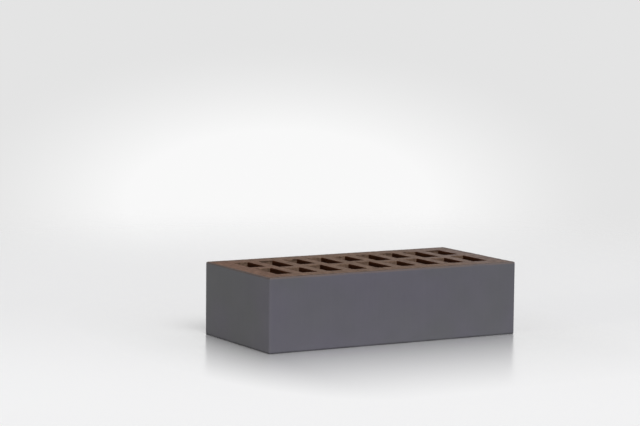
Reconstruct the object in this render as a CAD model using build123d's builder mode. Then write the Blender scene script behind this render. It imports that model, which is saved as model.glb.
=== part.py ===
from build123d import *
import os

# A perforated facing brick: fired clay, extruded in one piece through a die and
# cut to height by a wire. It lies on its bed, as it is laid in a wall.
# +X runs along the stretcher faces, +Y from the front stretcher to the back one
# and +Z up. The origin is the middle of the lower bed. All lengths are in mm.

# Outer size of the standard single format
length = 250.0
width = 120.0
height = 65.0

# Perforation: each column is one long and one short slot, end to end across the
# width, and every second column is turned end for end
odd_columns = 5
even_columns = odd_columns - 1
column_pitch = 25.0
slot_width = 15.0
long_slot = 40.0
short_slot = 33.0
middle_web = 9.0
slot_corner_radius = 2.0

# The die rounds the upright corners, and firing softens the arrises left by the wire
upright_corner_radius = 2.0
arris_radius = 0.8

# Where a column begins and ends, and the walls that are left around the columns
column_length = long_slot + middle_web + short_slot
stretcher_shell = (width - column_length) / 2
cross_web = column_pitch - slot_width
header_shell = (length - (odd_columns + even_columns - 1) * column_pitch - slot_width) / 2

# One column, with its long slot towards the front stretcher
with BuildSketch(mode=Mode.PRIVATE) as column:
    with Locations((0, (long_slot - column_length) / 2)):
        RectangleRounded(slot_width, long_slot, slot_corner_radius)
    with Locations((0, (column_length - short_slot) / 2)):
        RectangleRounded(slot_width, short_slot, slot_corner_radius)

with BuildPart() as brick:
    # The section that the die gives: the outline less the columns of slots
    with BuildSketch():
        RectangleRounded(length, width, upright_corner_radius)
        with GridLocations(2 * column_pitch, width, odd_columns, 1):
            add(column.sketch, mode=Mode.SUBTRACT)
        with GridLocations(2 * column_pitch, width, even_columns, 1):
            add(column.sketch, rotation=180, mode=Mode.SUBTRACT)
    extrude(amount=height)

    # The outer arrises of both beds; the slots' own rims stay as the wire cut them
    lower_bed = brick.faces().sort_by(Axis.Z)[0]
    upper_bed = brick.faces().sort_by(Axis.Z)[-1]
    fillet(lower_bed.outer_wire().edges() + upper_bed.outer_wire().edges(), arris_radius)

brick.part.label = "brick"

os.makedirs("parts", exist_ok=True)
export_step(brick.part, "parts/brick.step")

bed_area = length * width
void_share = 1 - brick.part.volume / (bed_area * height)
print(f"stretcher shell {stretcher_shell:.1f}, header shell {header_shell:.1f}, cross web {cross_web:.1f}")
print(f"volume {brick.part.volume:.0f} mm3, voids {void_share:.1%} of the outer volume")
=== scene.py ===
import math
import bpy
from mathutils import Matrix, Vector


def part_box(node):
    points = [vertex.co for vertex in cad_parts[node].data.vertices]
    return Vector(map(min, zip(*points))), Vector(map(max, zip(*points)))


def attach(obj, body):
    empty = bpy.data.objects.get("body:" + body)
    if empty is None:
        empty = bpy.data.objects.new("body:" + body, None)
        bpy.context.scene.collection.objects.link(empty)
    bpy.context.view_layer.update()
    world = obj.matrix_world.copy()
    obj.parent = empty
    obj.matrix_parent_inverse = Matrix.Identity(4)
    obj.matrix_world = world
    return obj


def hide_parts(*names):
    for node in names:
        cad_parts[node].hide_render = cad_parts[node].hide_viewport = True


# One perforated facing brick lying on its bed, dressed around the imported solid.
# Blender works in metres: +X runs along the stretchers, +Y to the back one, +Z up.

mm = 0.001

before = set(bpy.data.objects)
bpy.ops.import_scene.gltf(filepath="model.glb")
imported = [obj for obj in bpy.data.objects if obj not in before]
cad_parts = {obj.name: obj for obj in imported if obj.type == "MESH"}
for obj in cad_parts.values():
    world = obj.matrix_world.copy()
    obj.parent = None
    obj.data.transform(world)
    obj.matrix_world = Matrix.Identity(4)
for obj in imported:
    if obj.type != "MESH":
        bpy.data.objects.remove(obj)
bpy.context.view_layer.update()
brickLow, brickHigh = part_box("brick")
print("frame loaded, brick is", [round(side / mm, 1) for side in brickHigh - brickLow], "mm")


class Field:
    # one value in a node tree, so that a chain of Math nodes reads as a formula
    def __init__(self, tree, socket):
        self.tree = tree
        self.socket = socket

    def math(self, operation, *others):
        node = self.tree.nodes.new("ShaderNodeMath")
        node.operation = operation
        for slot, value in zip(node.inputs, (self, *others)):
            feed(self.tree, slot, value)
        return Field(self.tree, node.outputs[0])

    def __add__(self, other):
        return self.math("ADD", other)

    def __sub__(self, other):
        return self.math("SUBTRACT", other)

    def __rsub__(self, other):
        # a plain number less a field
        return self * -1.0 + other

    def __mul__(self, other):
        return self.math("MULTIPLY", other)

    def __truediv__(self, other):
        return self.math("DIVIDE", other)

    def __gt__(self, other):
        return self.math("GREATER_THAN", other)

    def __lt__(self, other):
        return self.math("LESS_THAN", other)

    def __abs__(self):
        return self.math("ABSOLUTE")

    def least(self, other):
        return self.math("MINIMUM", other)

    def most(self, other):
        return self.math("MAXIMUM", other)

    def sign(self):
        return self.math("SIGN")

    def rounded(self):
        return self.math("ROUND")


def feed(tree, slot, value):
    # a field or a socket is linked, anything else is set on the socket
    source = value.socket if isinstance(value, Field) else value
    if isinstance(source, bpy.types.NodeSocket):
        tree.links.new(source, slot)
    else:
        slot.default_value = source


def addNode(tree, kind, inputs=None, **settings):
    node = tree.nodes.new(kind)
    for name, value in settings.items():
        setattr(node, name, value)
    for name, value in (inputs or {}).items():
        feed(tree, node.inputs[name], value)
    return node


def splitXyz(tree, vector):
    node = addNode(tree, "ShaderNodeSeparateXYZ", {0: vector})
    return [Field(tree, out) for out in node.outputs]


def joinXyz(tree, x=0.0, y=0.0, z=0.0):
    return Field(tree, addNode(tree, "ShaderNodeCombineXYZ", {0: x, 1: y, 2: z}).outputs[0])


def stretched(tree, vector, along):
    # the place, with each direction scaled by its own number, for streaks and drag lines
    x, y, z = splitXyz(tree, vector)
    return joinXyz(tree, x * along[0], y * along[1], z * along[2])


def scaled(tree, vector, amount):
    node = addNode(tree, "ShaderNodeVectorMath", {0: vector, "Scale": amount}, operation="SCALE")
    return node.outputs[0]


def noise(tree, vector, pattern, seed=0.0):
    # a value about 0, between -1 and 1. A pattern is its scale, or one for each direction,
    # with its detail, its roughness and a number that is added to the seed.
    scale, detail, roughness, ownSeed = pattern
    if isinstance(scale, tuple):
        vector, scale = stretched(tree, vector, scale), 1.0
    node = addNode(
        tree, "ShaderNodeTexNoise",
        {"Vector": vector, "W": seed + ownSeed, "Scale": scale, "Detail": detail, "Roughness": roughness},
        noise_dimensions="4D",
    )
    return (Field(tree, node.outputs[0]) - 0.5) * 2.0


def ramp(tree, value, start, end, low=0.0, high=1.0, smooth=True):
    # goes from low to high as value goes from start to end, and stays there
    node = addNode(
        tree, "ShaderNodeMapRange",
        {0: value, 1: start, 2: end, 3: low, 4: high},
        interpolation_type="SMOOTHSTEP" if smooth else "LINEAR",
    )
    return Field(tree, node.outputs[0])


def fade(tree, value, start, end):
    # goes from 1 to 0
    return ramp(tree, value, start, end, 1.0, 0.0)


def choose(test, yes, no):
    # a plain switch, where test is 0 or 1
    return test * (yes - no) + no


def length2(x, y):
    # how long a step of x and y is
    return (x * x + y * y).math("SQRT")


def addInputs(tree, sizes, kind="NodeSocketFloat"):
    return {
        name: tree.interface.new_socket(name=name, in_out="INPUT", socket_type=kind)
        for name in sizes
    }


def makeGradedSpan():
    # a length that opens with fine steps, runs wide and closes with fine steps again
    tree = bpy.data.node_groups.new("gradedSpan", "GeometryNodeTree")
    addInputs(tree, ["Step", "First", "Last", "Length", "Grading"])
    tree.interface.new_socket(name="Place", in_out="OUTPUT", socket_type="NodeSocketFloat")
    given = {s.name: Field(tree, s) for s in tree.nodes.new("NodeGroupInput").outputs if s.name}
    even = ramp(tree, given["Step"], given["First"], given["Last"], smooth=False)
    eased = ramp(tree, given["Step"], given["First"], given["Last"])
    place = (even + (eased - even) * given["Grading"]) * given["Length"]
    addNode(tree, "NodeGroupOutput", {"Place": place})
    return tree


spanTree = makeGradedSpan()


def gradedSpan(tree, step, first, last, length, grading=0.75):
    # grading 0 gives even steps and 1 the finest ones at the ends
    node = addNode(
        tree, "GeometryNodeGroup",
        {"Step": step, "First": first, "Last": last, "Length": length, "Grading": grading},
        node_tree=spanTree,
    )
    return Field(tree, node.outputs[0])


# The brick's rule: nine columns of slots, each a long one and a short one end to end,
# with every second column turned end for end. Lengths in metres.
brickSizes = {
    "Length": brickHigh.x - brickLow.x,
    "Width": brickHigh.y - brickLow.y,
    "Height": brickHigh.z - brickLow.z,
    "Column Pitch": 25 * mm,
    "Slot Width": 15 * mm,
    "Long Slot": 40 * mm,
    "Short Slot": 33 * mm,
    "Middle Web": 9 * mm,
    "Slot Radius": 2 * mm,
    "Upright Radius": 2 * mm,
    "Arris Radius": 0.8 * mm,
    "Waviness": 0.16 * mm,     # slow swell of the faces, from drying and firing
    "Wire Drag": 0.1 * mm,     # lines that the cutting wire leaves across the beds
    "Ragged Rims": 0.5 * mm,   # crumbs of clay turned up around the slots
    "Worn Arris": 0.22 * mm,   # small nicks along the outer edges
    "Seed": 4.0,
}

# How many steps of the mesh each stretch of the brick gets, and how many columns there are
brickSteps = {
    "columns": 9,
    "slotWidth": 12,
    "crossWeb": 8,
    "headerShell": 14,
    "webHalf": 2,          # from the brick's axis to the long slots
    "slotStep": 8,         # from there to the short slots
    "shortSlot": 34,
    "stretcherShell": 18,
    "height": 22,
}


def columnAt(x, pitch):
    # the nearest column of slots, counted from the middle one, and -1 if it is turned end for end
    outermost = brickSteps["columns"] // 2
    column = (x / pitch).rounded().least(outermost).most(-outermost)
    turned = abs(column).math("MODULO", 2.0) * -2.0 + 1.0
    return column, turned


class SlotPlan:
    # where a place in plan lies within its own column of slots
    def __init__(self, tree, size, x, y):
        half = (size["Long Slot"] + size["Middle Web"] + size["Short Slot"]) / 2.0
        nearWeb = half - size["Long Slot"]
        farWeb = half - size["Short Slot"]
        column, self.turned = columnAt(x, size["Column Pitch"])
        self.across = x - column * size["Column Pitch"]
        along = y * self.turned
        isShort = along > (farWeb - nearWeb) / 2.0
        low = choose(isShort, farWeb, half * -1.0)
        high = choose(isShort, half, nearWeb * -1.0)
        # depth into the slot from its sides and from its ends, negative in the clay
        self.sideDepth = size["Slot Width"] / 2.0 - abs(self.across)
        self.lowDepth = along - low
        self.highDepth = high - along
        self.endDepth = self.lowDepth.least(self.highDepth)

    def rimDistance(self):
        side = (self.sideDepth * -1.0).most(0.0)
        end = (self.endDepth * -1.0).most(0.0)
        return length2(side, end)


def outlineDepth(size, x, y):
    # depth in plan from the outline with its rounded corners, and the way out
    radius = size["Upright Radius"]
    pastX = (abs(x) - size["Length"] / 2.0 + radius).most(0.0)
    pastY = (abs(y) - size["Width"] / 2.0 + radius).most(0.0)
    past = length2(pastX, pastY)
    return radius - past, x.sign() * pastX / past, y.sign() * pastY / past


def roundOff(a, b, radius):
    # a and b are depths from two faces that meet; gives how far each grows on the round
    toCentreA = a - radius
    toCentreB = b - radius
    reach = abs(toCentreA).most(abs(toCentreB))
    share = reach / length2(toCentreA, toCentreB)
    return toCentreA * share - toCentreA, toCentreB * share - toCentreB


def placeOf(tree):
    return splitXyz(tree, tree.nodes.new("GeometryNodeInputPosition").outputs[0])


def movePoints(tree, geometry, **inputs):
    return addNode(tree, "GeometryNodeSetPosition", {"Geometry": geometry, **inputs}).outputs[0]


def makeBedSheet(tree, size):
    # one flat bed as a grid counted in steps, with the faces over the slots taken out
    steps = brickSteps
    pitch = steps["slotWidth"] + steps["crossWeb"]
    halfSlot = steps["slotWidth"] // 2
    outermost = steps["columns"] // 2
    # rims of the long and the short slots and the edge of the bed, in steps from the brick's axis
    nearLong = steps["webHalf"]
    nearShort = nearLong + steps["slotStep"]
    farRim = nearShort + steps["shortSlot"]
    edge = farRim + steps["stretcherShell"]
    lastX = outermost * pitch + halfSlot + steps["headerShell"]
    grid = addNode(
        tree, "GeometryNodeMeshGrid",
        {
            "Size X": 2.0 * lastX, "Vertices X": 2 * lastX + 1,
            "Size Y": 2.0 * edge, "Vertices Y": 2 * edge + 1,
        },
    )
    i, j, _ = placeOf(tree)
    column, turned = columnAt(i, pitch)
    across = i - column * pitch
    along = j * turned
    overLong = (along > -farRim) * (along < -nearLong)
    overShort = (along > nearShort) * (along < farRim)
    overSlot = (abs(across) < halfSlot) * (overLong + overShort)
    cut = addNode(
        tree, "GeometryNodeDeleteGeometry",
        {"Geometry": grid.outputs[0], "Selection": overSlot > 0.5},
        domain="FACE",
    )

    # from steps to metres, with fine steps at every rim and edge
    half = (size["Long Slot"] + size["Middle Web"] + size["Short Slot"]) / 2.0
    webHalf = half - size["Long Slot"]
    slotStep = size["Long Slot"] - size["Short Slot"]
    crossWeb = size["Column Pitch"] - size["Slot Width"]
    headerShell = (
        size["Length"] - size["Column Pitch"] * (steps["columns"] - 1.0) - size["Slot Width"]
    ) / 2.0
    stretcherShell = size["Width"] / 2.0 - half
    fromMiddle = abs(across)
    overWeb = gradedSpan(tree, fromMiddle, halfSlot, halfSlot + steps["crossWeb"], crossWeb)
    overShell = gradedSpan(tree, fromMiddle, halfSlot, halfSlot + steps["headerShell"], headerShell)
    isOuter = abs(i) > outermost * pitch
    overHole = gradedSpan(tree, fromMiddle, -halfSlot, halfSlot, size["Slot Width"])
    overHole = overHole - size["Slot Width"] / 2.0
    x = column * size["Column Pitch"] + across.sign() * (overHole + choose(isOuter, overShell, overWeb))
    fromAxis = abs(j)
    y = j.sign() * (
        gradedSpan(tree, fromAxis, 0, nearLong, webHalf, 0.0)
        + gradedSpan(tree, fromAxis, nearLong, nearShort, slotStep)
        + gradedSpan(tree, fromAxis, nearShort, farRim, size["Short Slot"])
        + gradedSpan(tree, fromAxis, farRim, edge, stretcherShell)
    )
    return movePoints(tree, cut.outputs[0], Position=joinXyz(tree, x, y, size["Height"]))


def roundSlotCorners(tree, size, sheet):
    x, y, _ = placeOf(tree)
    plan = SlotPlan(tree, size, x, y)
    radius = size["Slot Radius"]
    touch = -0.02 * mm  # so that points on the walls themselves count as inside
    inCorner = (
        (plan.sideDepth > touch) * (plan.sideDepth < radius)
        * (plan.endDepth > touch) * (plan.endDepth < radius)
    )
    growSide, growEnd = roundOff(plan.sideDepth, plan.endDepth, radius)
    inward = choose(plan.lowDepth < plan.highDepth, 1.0, -1.0) * plan.turned
    return movePoints(
        tree, sheet,
        Selection=inCorner > 0.5,
        Offset=joinXyz(tree, plan.across.sign() * growSide * -1.0, inward * growEnd),
    )


def roundUprightCorners(tree, size, sheet):
    x, y, _ = placeOf(tree)
    radius = size["Upright Radius"]
    depthX = size["Length"] / 2.0 - abs(x)
    depthY = size["Width"] / 2.0 - abs(y)
    growX, growY = roundOff(depthX, depthY, radius)
    return movePoints(
        tree, sheet,
        Selection=(depthX < radius) * (depthY < radius) > 0.5,
        Offset=joinXyz(tree, x.sign() * growX * -1.0, y.sign() * growY * -1.0),
    )


def drawWallsDown(tree, size, sheet):
    # every open edge of the upper bed, outline and slots alike, is drawn down step by step
    rows = brickSteps["height"]
    start = tree.nodes.new("GeometryNodeRepeatInput")
    end = tree.nodes.new("GeometryNodeRepeatOutput")
    start.pair_with_output(end)
    feed(tree, start.inputs["Iterations"], rows)
    feed(tree, start.inputs["Geometry"], sheet)
    row = Field(tree, start.outputs["Iteration"])
    above = gradedSpan(tree, row, 0, rows, size["Height"])
    below = gradedSpan(tree, row + 1.0, 0, rows, size["Height"])
    faces = Field(tree, tree.nodes.new("GeometryNodeInputMeshEdgeNeighbors").outputs[0])
    drawn = addNode(
        tree, "GeometryNodeExtrudeMesh",
        {
            "Mesh": start.outputs["Geometry"],
            "Selection": faces < 1.5,
            "Offset": joinXyz(tree, z=above - below),
            "Offset Scale": 1.0,
        },
        mode="EDGES",
    )
    feed(tree, end.inputs["Geometry"], drawn.outputs["Mesh"])
    return end.outputs["Geometry"]


def closeWithLowerBed(tree, size, sheet, walls):
    lowered = addNode(
        tree, "GeometryNodeTransform",
        {"Geometry": sheet, "Translation": joinXyz(tree, z=size["Height"] * -1.0)},
    )
    turned = addNode(tree, "GeometryNodeFlipFaces", {"Mesh": lowered.outputs[0]})
    joined = tree.nodes.new("GeometryNodeJoinGeometry")
    tree.links.new(turned.outputs[0], joined.inputs[0])
    tree.links.new(walls, joined.inputs[0])
    sewn = 0.01 * mm  # points nearer to each other than this become one
    merged = addNode(
        tree, "GeometryNodeMergeByDistance",
        {"Geometry": joined.outputs[0], "Distance": sewn},
    )
    return merged.outputs[0]


def roundArrises(tree, size, shell):
    x, y, z = placeOf(tree)
    radius = size["Arris Radius"]
    depth, outX, outY = outlineDepth(size, x, y)
    fromBed = z.least(size["Height"] - z)
    down = choose(z > size["Height"] / 2.0, -1.0, 1.0)
    growIn, growDown = roundOff(depth, fromBed, radius)
    return movePoints(
        tree, shell,
        Selection=(depth < radius) * (fromBed < radius) > 0.5,
        Offset=joinXyz(tree, outX * growIn * -1.0, outY * growIn * -1.0, down * growDown),
    )


# Two numbers are where the relief begins to fade and where it is gone
reliefLook = {
    "dragDown": (0.0, 0.5 * mm),       # down from a bed
    "crumbsOut": (0.0, 1.1 * mm),      # out from the rim of a slot
    "crumbsDown": (0.0, 1.4 * mm),
    "crumbLift": 0.1,                  # crumbs stand up more than they sink in
    "nicksIn": (0.2 * mm, 1.5 * mm),   # in from a side face
    "nicksDown": (0.2 * mm, 1.6 * mm),
    "nickLevel": 0.15,                 # nicks lie where their noise is under this
    "nickDepth": 2.0,
    # scale, detail, roughness and a number added to the brick's seed
    "patterns": {
        "swell": (16.0, 2.0, 0.5, 0.0),
        "wireDrag": ((420.0, 22.0, 60.0), 3.0, 0.6, 3.0),
        "crumbs": (430.0, 3.0, 0.65, 7.0),
        "nicks": (190.0, 3.0, 0.6, 11.0),
    },
}


def addRelief(tree, size, shell):
    # marks of the die, the wire and the kiln; all of them move points along their normals
    position = tree.nodes.new("GeometryNodeInputPosition").outputs[0]
    x, y, z = splitXyz(tree, position)
    depth, _, _ = outlineDepth(size, x, y)
    fromRim = SlotPlan(tree, size, x, y).rimDistance()
    fromBed = z.least(size["Height"] - z)
    look = reliefLook
    onBed = fade(tree, fromBed, *look["dragDown"])
    atRim = fade(tree, fromRim, *look["crumbsOut"]) * fade(tree, fromBed, *look["crumbsDown"])
    atArris = fade(tree, depth, *look["nicksIn"]) * fade(tree, fromBed, *look["nicksDown"])

    marks = {name: noise(tree, position, kind, size["Seed"]) for name, kind in look["patterns"].items()}
    crumbs = marks["crumbs"] + look["crumbLift"]
    nicks = marks["nicks"].least(look["nickLevel"]) - look["nickLevel"]
    lift = (
        marks["swell"] * size["Waviness"]
        + marks["wireDrag"] * onBed * size["Wire Drag"]
        + crumbs * atRim * size["Ragged Rims"]
        + nicks * atArris * size["Worn Arris"] * look["nickDepth"]
    )
    normal = tree.nodes.new("GeometryNodeInputNormal").outputs[0]
    moved = movePoints(tree, shell, Offset=scaled(tree, normal, lift))

    # nothing goes below the floor that the brick lies on
    nowX, nowY, nowZ = placeOf(tree)
    return movePoints(tree, moved, Position=joinXyz(tree, nowX, nowY, nowZ.most(0.0)))


def makeBrickTree():
    tree = bpy.data.node_groups.new("perforatedBrick", "GeometryNodeTree")
    inputs = addInputs(tree, brickSizes)
    inputs.update(addInputs(tree, ["Clay"], "NodeSocketMaterial"))
    tree.interface.new_socket(name="Geometry", in_out="OUTPUT", socket_type="NodeSocketGeometry")
    given = tree.nodes.new("NodeGroupInput")
    size = {name: Field(tree, given.outputs[name]) for name in brickSizes}
    sheet = makeBedSheet(tree, size)
    sheet = roundSlotCorners(tree, size, sheet)
    sheet = roundUprightCorners(tree, size, sheet)
    walls = drawWallsDown(tree, size, sheet)
    shell = closeWithLowerBed(tree, size, sheet, walls)
    shell = roundArrises(tree, size, shell)
    shell = addRelief(tree, size, shell)
    smooth = addNode(tree, "GeometryNodeSetShadeSmooth", {"Geometry": shell})
    real = addNode(tree, "GeometryNodeRealizeInstances", {"Geometry": smooth.outputs[0]})
    fired = addNode(
        tree, "GeometryNodeSetMaterial",
        {"Geometry": real.outputs[0], "Material": given.outputs["Clay"]},
    )
    addNode(tree, "NodeGroupOutput", {"Geometry": fired.outputs[0]})
    return tree, {name: socket.identifier for name, socket in inputs.items()}


def screenColor(red, green, blue):
    # a colour as it looks on a screen, 0 to 255, as the linear one that Blender wants
    def linear(value):
        share = value / 255
        return share / 12.92 if share <= 0.04045 else ((share + 0.055) / 1.055) ** 2.4
    return (linear(red), linear(green), linear(blue), 1.0)


def mixColor(tree, share, first, second):
    node = addNode(tree, "ShaderNodeMix", data_type="RGBA")
    feed(tree, node.inputs[0], share)
    feed(tree, node.inputs[6], first)
    feed(tree, node.inputs[7], second)
    return node.outputs[2]


def newMaterial(name):
    material = bpy.data.materials.new(name)
    material.use_nodes = True
    material.node_tree.nodes.clear()
    return material, material.node_tree


def pits(tree, vector, stretch, scale, size, share, seed):
    # round pits, at most one in each cell of the pattern, in a share of the cells
    node = addNode(
        tree, "ShaderNodeTexVoronoi",
        {"Vector": stretched(tree, vector, stretch), "W": seed, "Scale": scale},
        voronoi_dimensions="4D",
    )
    picked = splitXyz(tree, node.outputs["Color"])
    pitSize = picked[1] * (size / 2) + size / 2
    # a pit's floor is flat near its middle and comes up to its edge
    deep = fade(tree, Field(tree, node.outputs["Distance"]) / pitSize, 0.3, 1.0)
    return deep * (picked[0] < share)


def sumOf(marks, shares):
    # the named marks, each times its share
    parts = [marks[name] * share for name, share in shares.items()]
    total = parts[0]
    for part in parts[1:]:
        total = total + part
    return total


# Two numbers are where something begins and where it is whole, or where it fades and is gone
clayLook = {
    "coatRoughness": 0.62,
    "bodyRoughness": 0.9,
    "fineRoughness": 0.05,           # how much the coat's fine grain changes its roughness
    "specular": 0.06,
    "bumpHeight": 1 * mm,
    "coatEdge": 0.9 * mm,            # how far the grey reaches over the arris onto the bed
    "coatFade": 0.5 * mm,
    "coatRagged": 0.7 * mm,
    "coatCloud": (-0.4, 0.4),        # noise over which the coat turns from bluish to neutral
    "coatSpeck": 0.35,               # how dark the painted shade in the coat's pits is
    "bodySpeck": 0.6,                # and in the body's pits and grit marks
    "crumbShare": 0.55,
    "bodyLightDrift": 1.7,                # painted shade and bounce light, changing the body's colour from header to header
    "bodyCloud": 0.6,                # and how cloudy it is
    "redSpan": (-0.1, -0.9),
    "paleSpan": (0.1, 0.9),
    "dustReach": 8 * mm,
    "dustRagged": 2.5 * mm,
    "dustShare": 0.75,
    "slotFrom": (6 * mm, 7 * mm),    # this deep in plan there are only beds and walls of slots
    "slotDown": (0.4 * mm, 1.2 * mm),  # and this far below a bed only the walls
    "wallTilt": (0.72, 0.95),        # upward part of the normal, from a wall to a bed
    "wallFacing": 0.6,               # part of the normal along an axis that a wall across it has
    # painted shade just under the slots' rims, on their end walls and round them on the bed, stronger
    # towards the back row
    "rimShadeBreaks": (-0.25, 0.15),
    "rimShadeDown": (0.4 * mm, 2.6 * mm),
    "rimShadeOut": (0.2 * mm, 1.1 * mm),
    "rimShadeRagged": 0.4 * mm,
    "rimShadeOnBed": 0.6,                  # share of the painted rim shade that shows on the bed
    "rimShadeFront": 0.12,               # and in the front row of slots, where the painted shade is faint
    "rimShadeRows": (-10 * mm, 10 * mm),  # from the front row to the back one
    "rimShadeShare": 0.8,
    "seamShare": 0.65,
    "seamThin": 0.3,                 # the least of it that is left where it breaks off
    "seamBreaks": (-0.6, 0.2),
    "seamDown": (0.7 * mm, 1.8 * mm),
    "seamRagged": 0.6 * mm,
    "colors": {
        "coat": (89, 87, 96),        # the grey of the side faces
        "coatNeutral": (85, 85, 89),
        "body": (112, 93, 81),       # the bare clay of the beds
        "bodyRedShade": (113, 89, 77),    # towards the left header, redder with painted shade and bounce light
        "bodyPale": (118, 103, 97),  # towards the right header, the paler end of the painted gradient
        "slotEnd": (112, 91, 77),    # painted shade just under the rims of the slots
        "slotSideShade": (56, 29, 13),    # their long walls, darkened with painted shade
        "rimShade": (48, 34, 27),        # where the wire tore the rim of a slot
        "dust": (91, 83, 81),        # grey that has spread over the edge of a bed
        "pitShade": (58, 50, 47),       # painted shade in the pits and grit marks
        "crumb": (136, 117, 102),    # pale crumbs of dry clay on the bed
        "paleUpperArris": (106, 92, 86),     # the stretchers' upper arrises, paler
        "seam": (82, 68, 61),        # the headers' upper arrises, where the coat ends in a darker line
        "footShade": (58, 57, 60),        # painted shade along the lower arrises, where the brick meets the floor
    },
    # noise: scale per metre, or one for each direction, detail, roughness and seed
    "patterns": {
        "ragged": (260.0, 4.0, 0.65, 1.0),                # the ends of the coat and of the dust
        "cloud": (13.0, 2.0, 0.5, 2.0),
        "drift": (45.0, 3.0, 0.55, 5.0),
        "streak": ((330.0, 330.0, 16.0), 3.0, 0.6, 3.0),
        "fine": (1500.0, 2.0, 0.6, 4.0),
        "bodyCloud": (17.0, 3.0, 0.55, 8.0),
        "drag": ((620.0, 24.0, 80.0), 4.0, 0.65, 9.0),    # the wire's way over the bed
        "grain": (900.0, 4.0, 0.7, 10.0),
        "blotch": ((300.0, 130.0, 240.0), 3.0, 0.6, 12.0),
        "rimShadeNoise": ((160.0, 160.0, 420.0), 3.0, 0.6, 13.0),
        "seam": (38.0, 2.0, 0.5, 14.0),
    },
    # small round marks: stretch, cells per metre, size in the cell, share of the cells and seed
    "pits": {
        "coatPits": ((1.0, 1.0, 1.0), 210.0, 0.13, 0.16, 1.0),
        "bodyPits": ((1.0, 1.0, 1.0), 240.0, 0.2, 0.34, 2.0),
        "grit": ((1.0, 0.35, 1.0), 330.0, 0.22, 0.2, 6.0),
        "crumbs": ((1.0, 0.5, 1.0), 270.0, 0.26, 0.12, 9.0),
    },
    # how much each mark changes the tone, and how high it stands as a share of the bump's height
    "coatTone": {"cloud": 0.09, "drift": 0.07, "streak": 0.03, "fine": 0.05},
    "bodyTone": {"drag": 0.34, "grain": 0.42, "blotch": 0.75},
    "coatHeight": {"fine": 0.02, "streak": 0.03, "drift": 0.04, "coatPits": -0.2},
    "bodyHeight": {
        "grain": 0.12, "drag": 0.16, "blotch": 0.12, "crumbs": 0.3, "bodyPits": -0.3, "grit": -0.25,
    },
}


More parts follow.
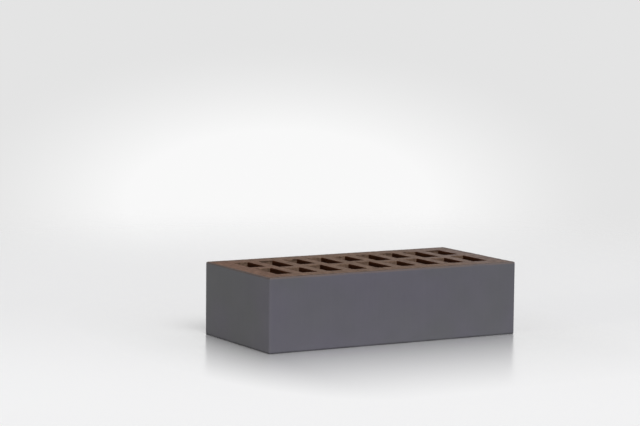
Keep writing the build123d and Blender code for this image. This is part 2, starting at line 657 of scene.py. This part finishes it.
def makeClay():
    material, tree = newMaterial("firedClay")
    look = clayLook
    color = {name: screenColor(*value) for name, value in look["colors"].items()}
    length, width, height = (brickSizes[name] for name in ("Length", "Width", "Height"))
    coords = tree.nodes.new("ShaderNodeTexCoord")
    place = coords.outputs["Object"]
    x, y, z = splitXyz(tree, place)
    facing = splitXyz(tree, coords.outputs["Normal"])
    fromStretcher = width / 2 - abs(y)
    depth = (length / 2 - abs(x)).least(fromStretcher)
    fromBed = z.least(height - z)
    marks = {name: noise(tree, place, kind) for name, kind in look["patterns"].items()}
    marks.update({name: pits(tree, place, *kind) for name, kind in look["pits"].items()})
    ragged = marks["ragged"]

    # grey coat on the side faces, with a ragged end just over the arris
    coatEnd = (look["coatEdge"], look["coatEdge"] + look["coatFade"])
    coated = fade(tree, depth + ragged * look["coatRagged"], *coatEnd)
    bare = 1.0 - coated
    onWall = fade(tree, abs(facing[2]), *look["wallTilt"])
    inSlot = ramp(tree, depth, *look["slotFrom"]) * onWall.most(ramp(tree, fromBed, *look["slotDown"]))

    # the coat: a faint cloudiness and marks drawn out along the extrusion
    clouded = ramp(tree, marks["cloud"], *look["coatCloud"])
    coatColor = mixColor(tree, clouded, color["coat"], color["coatNeutral"])
    coatTone = sumOf(marks, look["coatTone"]) + 1.0

    # the bare body: redder towards the left header and paler towards the right one, painted shade and
    # bounce light, with the wire's drag across it
    bodyLightDrift = x * (look["bodyLightDrift"] / length) + marks["bodyCloud"] * look["bodyCloud"]
    bodyColor = mixColor(tree, ramp(tree, bodyLightDrift, *look["redSpan"]), color["body"], color["bodyRedShade"])
    bodyColor = mixColor(tree, ramp(tree, bodyLightDrift, *look["paleSpan"]), bodyColor, color["bodyPale"])
    dustEdge = fromStretcher.least(length / 2 - x) + ragged * look["dustRagged"]
    dusted = ramp(tree, dustEdge, 0.0, look["dustReach"], look["dustShare"], 0.0)
    bodyColor = mixColor(tree, dusted, bodyColor, color["dust"])
    bodyTone = sumOf(marks, look["bodyTone"]) + 1.0
    # painted shade on the slots' long walls, which get a far darker colour than their end walls
    onSlotSide = abs(facing[0]) > look["wallFacing"]
    onSlotEnd = abs(facing[1]) > look["wallFacing"]
    slotColor = mixColor(tree, onSlotSide, color["slotEnd"], color["slotSideShade"])
    bodyColor = mixColor(tree, inSlot, bodyColor, slotColor)

    # painted shade under the rims, on the slots' end walls and just round them on the bed
    rimShadeNoise = ramp(tree, marks["rimShadeNoise"], *look["rimShadeBreaks"])
    rimShade = inSlot * rimShadeNoise * fade(tree, fromBed, *look["rimShadeDown"]) * onSlotEnd
    rimPlace = SlotPlan(tree, brickSizes, x, y).rimDistance() + ragged * look["rimShadeRagged"]
    atRim = fade(tree, rimPlace, *look["rimShadeOut"]) * (1.0 - inSlot) * bare
    byRow = ramp(tree, y, *look["rimShadeRows"], look["rimShadeFront"], 1.0)
    rimShade = (rimShade + atRim * rimShadeNoise * look["rimShadeOnBed"]) * byRow

    # coat and body together, then the painted shade in the pits, the crumbs and the painted shade under the
    # rims
    tone = bodyTone + (coatTone - bodyTone) * coated
    finalColor = scaled(tree, mixColor(tree, coated, bodyColor, coatColor), tone)
    # painted shade in the pits and grit marks, which also sink in as bumps
    coatPitShade = marks["coatPits"] * coated * look["coatSpeck"]
    bodyPitShade = (marks["bodyPits"] + marks["grit"]).least(1.0) * bare * look["bodySpeck"]
    finalColor = mixColor(tree, coatPitShade + bodyPitShade, finalColor, color["pitShade"])
    crumbed = marks["crumbs"] * bare * (1.0 - inSlot) * look["crumbShare"]
    finalColor = mixColor(tree, crumbed, finalColor, color["crumb"])
    finalColor = mixColor(tree, rimShade * look["rimShadeShare"], finalColor, color["rimShade"])

    # the ends of the coat: paler along the upper arrises of the stretchers, darker brown along those of the
    # headers, and painted shade along the lower arrises, where the brick meets the floor
    seam = ramp(tree, marks["seam"], *look["seamBreaks"], look["seamThin"], 1.0)
    seam = seam * coated * fade(tree, fromBed + ragged * look["seamRagged"], *look["seamDown"])
    paleUpperArris = (abs(facing[1]) > abs(facing[0])) * (z > height / 2)
    seamColor = mixColor(tree, paleUpperArris, color["seam"], color["paleUpperArris"])
    seamColor = mixColor(tree, z < height / 2, seamColor, color["footShade"])
    finalColor = mixColor(tree, seam * look["seamShare"], finalColor, seamColor)

    coatHeight = sumOf(marks, look["coatHeight"])
    bodyHeight = sumOf(marks, look["bodyHeight"])
    relief = bodyHeight + (coatHeight - bodyHeight) * coated
    bump = addNode(
        tree, "ShaderNodeBump",
        {"Strength": 1.0, "Distance": look["bumpHeight"], "Height": relief},
    )
    grained = marks["fine"] * look["fineRoughness"] + look["coatRoughness"]
    roughness = (grained - look["bodyRoughness"]) * coated + look["bodyRoughness"]
    shader = addNode(
        tree, "ShaderNodeBsdfPrincipled",
        {
            "Base Color": finalColor,
            "Roughness": roughness,
            "Normal": bump.outputs[0],
            "Specular IOR Level": look["specular"],
        },
    )
    addNode(tree, "ShaderNodeOutputMaterial", {"Surface": shader.outputs[0]})
    return material


def makeBrick():
    clay = makeClay()
    tree, identifiers = makeBrickTree()
    holder = bpy.data.objects.new("brickRule", bpy.data.meshes.new("brickRule"))
    bpy.context.scene.collection.objects.link(holder)
    modifier = holder.modifiers.new("perforatedBrick", "NODES")
    modifier.node_group = tree
    for name, value in {**brickSizes, "Clay": clay}.items():
        modifier[identifiers[name]] = value
    bpy.context.view_layer.update()
    graph = bpy.context.evaluated_depsgraph_get()
    mesh = bpy.data.meshes.new_from_object(holder.evaluated_get(graph), depsgraph=graph)
    mesh.name = "facingBrick"
    mesh.materials.clear()
    mesh.materials.append(clay)
    mesh.polygons.foreach_set("material_index", [0] * len(mesh.polygons))
    bpy.data.objects.remove(holder)
    brick = bpy.data.objects.new("facingBrick", mesh)
    bpy.context.scene.collection.objects.link(brick)
    triangles = sum(len(face.vertices) - 2 for face in mesh.polygons)
    print("brick made,", triangles, "triangles,", len(mesh.materials), "material")
    return brick


brick = makeBrick()
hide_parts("brick")
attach(brick, "root")


# The photograph's view: where the camera stands, which way it looks and how far down
cameraView = {
    "lens": 131.614,
    "sensor": 36.0,
    "place": (-1054.86 * mm, -1777.83 * mm, 333.91 * mm),
    "heading": 0.51752,
    "down": 0.10873,
    "roll": 0.00998,
    "clip": (0.05, 50.0),
}


def cameraTurn():
    turn = Matrix.Rotation(-cameraView["heading"], 4, "Z")
    tilt = Matrix.Rotation(math.pi / 2 - cameraView["down"], 4, "X")
    return turn @ tilt @ Matrix.Rotation(cameraView["roll"], 4, "Z")


floorLook = {
    "size": 9.0,
    "color": (247, 247, 248),
    "toneSpan": (-0.33, 0.2),      # between these places along the camera's heading, 0 at the brick,
    "farTone": 0.915,              # the floor darkens to this share of its colour
    "sheen": 1.16,                 # how strongly it mirrors the brick, close beside it
    "sheenReach": (0.105, 0.225),  # the mirroring is gone this far from the headers and the stretchers
    "sheenFall": 1.15,             # 1 would be a straight fall
    "grazing": 2.6,                # how much it keeps to flat views
    "polish": 0.2,                 # the roughness of it
    "fade": (0.4, 1.1),            # the floor fades into the backdrop between these distances
}

# Places and sizes in the backdrop are to the right and upward, for one unit ahead
backdropLook = {
    "light": 0.45,                 # what it gives to the brick
    "plain": 0.776,                # brightness away from the glow
    "glow": 0.275,
    "brightest": 0.94,
    "glowPlace": (-0.0174, 0.0047),
    "glowSize": (0.150, 0.0707),
    "floorGlow": 0.09,             # the lower part grows paler towards the viewer
    "floorSpan": (-0.028, -0.079),
    "leastAhead": 0.05,            # keeps the glow from running out at the sides and behind
}

# Suns, so that the light is the same wherever the floor is seen
lamps = {
    "key": {"from": (-0.15, -1.6, 1.6), "strength": 2.2, "spread": 32, "color": (1.0, 1.0, 1.0)},
    "sideFill": {"from": (-1.0, -0.12, 0.05), "strength": 0.62, "spread": 8, "color": (1.0, 1.0, 0.72)},
}


def makeFloor():
    side = floorLook["size"]
    corners = [(-side, -side, 0), (side, -side, 0), (side, side, 0), (-side, side, 0)]
    mesh = bpy.data.meshes.new("floor")
    mesh.from_pydata(corners, [], [(0, 1, 2, 3)])
    floor = bpy.data.objects.new("floor", mesh)
    bpy.context.scene.collection.objects.link(floor)
    material, tree = newMaterial("paleFloor")
    x, y, _ = splitXyz(tree, tree.nodes.new("ShaderNodeTexCoord").outputs["Object"])
    pastX = (abs(x) - brickSizes["Length"] / 2).most(0.0)
    pastY = (abs(y) - brickSizes["Width"] / 2).most(0.0)
    reachX, reachY = floorLook["sheenReach"]
    pastBrick = length2(pastX / reachX, pastY / reachY)
    nearness = ramp(tree, pastBrick, 0.0, 1.0, 1.0, 0.0, smooth=False).math("POWER", floorLook["sheenFall"])
    flatness = Field(tree, tree.nodes.new("ShaderNodeLayerWeight").outputs["Facing"])
    grazing = flatness.math("POWER", floorLook["grazing"])
    # the light on the floor falls off behind the brick, along the camera's heading
    away = x * math.sin(cameraView["heading"]) + y * math.cos(cameraView["heading"])
    tone = ramp(tree, away, *floorLook["toneSpan"], 1.0, floorLook["farTone"])
    color = scaled(tree, screenColor(*floorLook["color"])[:3], tone)
    matt = addNode(tree, "ShaderNodeBsdfDiffuse", {"Color": color})
    sheen = addNode(
        tree, "ShaderNodeBsdfGlossy",
        {"Color": (1, 1, 1, 1), "Roughness": floorLook["polish"]},
    )
    share = (nearness * grazing * floorLook["sheen"]).least(1.0)
    near = addNode(tree, "ShaderNodeMixShader", {0: share, 1: matt.outputs[0], 2: sheen.outputs[0]})
    faded = ramp(tree, length2(x, y), *floorLook["fade"])
    clear = tree.nodes.new("ShaderNodeBsdfTransparent")
    mixed = addNode(tree, "ShaderNodeMixShader", {0: faded, 1: near.outputs[0], 2: clear.outputs[0]})
    addNode(tree, "ShaderNodeOutputMaterial", {"Surface": mixed.outputs[0]})
    mesh.materials.append(material)


def makeBackdrop():
    # rays that are seen, straight or mirrored, meet a pale glow; the rest are even light
    look = backdropLook
    world = bpy.data.worlds.new("studio")
    bpy.context.scene.world = world
    world.use_nodes = True
    tree = world.node_tree
    tree.nodes.clear()
    ray = tree.nodes.new("ShaderNodeTexCoord").outputs["Generated"]
    parts = []
    for side in cameraTurn().col[:3]:
        dot = addNode(tree, "ShaderNodeVectorMath", {0: ray, 1: side[:3]}, operation="DOT_PRODUCT")
        parts.append(Field(tree, dot.outputs["Value"]))
    right, up, back = parts
    ahead = (back * -1.0).most(look["leastAhead"])
    across = (right / ahead - look["glowPlace"][0]) / look["glowSize"][0]
    upward = (up / ahead - look["glowPlace"][1]) / look["glowSize"][1]
    glow = ramp(tree, length2(across, upward), 1.0, 0.0) * look["glow"]
    low = ramp(tree, up / ahead, *look["floorSpan"]) * look["floorGlow"]
    level = (glow + low + look["plain"]).least(look["brightest"])
    path = tree.nodes.new("ShaderNodeLightPath")
    seen = Field(tree, path.outputs["Is Camera Ray"]).most(Field(tree, path.outputs["Is Glossy Ray"]))
    seen = seen.most(Field(tree, path.outputs["Is Transmission Ray"]))
    light = addNode(tree, "ShaderNodeBackground", {"Color": (1, 1, 1, 1), "Strength": look["light"]})
    view = addNode(tree, "ShaderNodeBackground", {"Color": (1, 1, 1, 1), "Strength": level})
    mixed = addNode(tree, "ShaderNodeMixShader", {0: seen, 1: light.outputs[0], 2: view.outputs[0]})
    addNode(tree, "ShaderNodeOutputWorld", {"Surface": mixed.outputs[0]})


def makeLamps():
    for name, lamp in lamps.items():
        data = bpy.data.lights.new(name, "SUN")
        data.energy = lamp["strength"]
        data.angle = math.radians(lamp["spread"])
        data.color = lamp["color"]
        item = bpy.data.objects.new(name, data)
        item.rotation_euler = (-Vector(lamp["from"])).to_track_quat("-Z", "Y").to_euler()
        bpy.context.scene.collection.objects.link(item)


def makeCamera():
    data = bpy.data.cameras.new("camera")
    data.lens = cameraView["lens"]
    data.sensor_width = cameraView["sensor"]
    data.clip_start, data.clip_end = cameraView["clip"]
    camera = bpy.data.objects.new("camera", data)
    camera.matrix_world = Matrix.Translation(cameraView["place"]) @ cameraTurn()
    bpy.context.scene.collection.objects.link(camera)
    bpy.context.scene.camera = camera


makeFloor()
makeBackdrop()
makeLamps()
makeCamera()
bpy.context.scene.view_settings.view_transform = "Standard"
print("floor, backdrop, lamps and camera placed")
